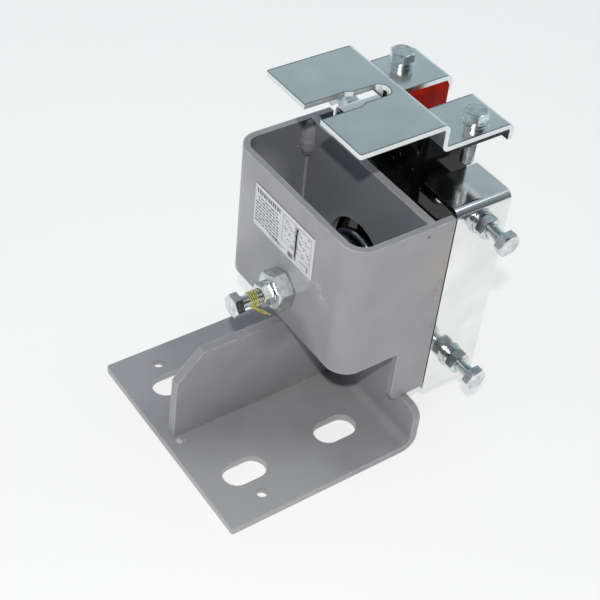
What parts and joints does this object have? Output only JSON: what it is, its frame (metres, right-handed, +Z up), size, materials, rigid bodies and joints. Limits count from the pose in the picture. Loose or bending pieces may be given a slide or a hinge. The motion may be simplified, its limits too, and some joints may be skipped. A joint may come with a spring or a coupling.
{
  "type": "elevator guide shoe",
  "caption": "Sprung sliding guide shoe: slotted angle bracket, bent steel housing, floating zinc head with a plastic rail liner, side adjusting bolts and a slotted oiler plate on top",
  "frame": {"origin": "centre of the four base slots on the mounting face", "axes": "+X towards the guide rail, across the car frame, +Z up along the rail, +Y along the slot rows' other pitch"},
  "size_m": [0.1917, 0.1688, 0.219],
  "materials": {
    "grey_paint": "satin mid grey paint over plate steel",
    "zinc_sheet": "bright zinc plated sheet steel",
    "zinc_fastener": "bright zinc plated fasteners",
    "black_steel": "gloss black paint",
    "spring_steel": "gloss black spring steel",
    "black_rubber": "moulded black rubber",
    "red_liner": "red low-friction plastic",
    "label_foil": "white foil plate",
    "yellow_thread": "twisted yellow thread"
  },
  "bodies": {
    "bracket": {"base_bracket": "grey_paint", "gusset_plate": "grey_paint", "housing_shell": "grey_paint", "weld_beads": "grey_paint", "adjuster_sleeve": "zinc_fastener", "adjuster_weld_nut": "zinc_fastener", "adjuster_locknut": "zinc_fastener", "spring_seat": "black_steel", "compression_spring": "spring_steel", "identity_label": "label_foil"},
    "head": {"back_channel": "black_steel", "guide_spigot": "black_steel", "cheek_plate_right": "zinc_sheet", "cheek_plate_left": "zinc_sheet", "back_cushion": "black_rubber", "side_cushions": "black_rubber", "pressure_discs": "zinc_fastener", "liner_holder": "black_steel", "slide_liner": "red_liner", "oiler_bracket": "zinc_sheet", "bracket_bolts": "zinc_fastener", "bracket_washers": "zinc_fastener", "bracket_spring_washers": "zinc_fastener", "side_bolts": "zinc_fastener", "side_locknuts": "zinc_fastener", "side_washers": "zinc_fastener", "side_spring_washers": "zinc_fastener", "stop_bolt": "zinc_fastener", "stop_bolt_locknut": "zinc_fastener", "seal_thread": "yellow_thread", "seal_thread_tail_1": "yellow_thread", "seal_thread_tail_2": "yellow_thread"}
  },
  "joints": [
    {"name": "head_float", "type": "slide", "parent": "bracket", "child": "head", "axis": [1, 0, 0], "range_m": [-0.002, 0], "stiffness_N_per_m": 40000, "springref_m": 0.004, "deforming": ["compression_spring"]}
  ]
}
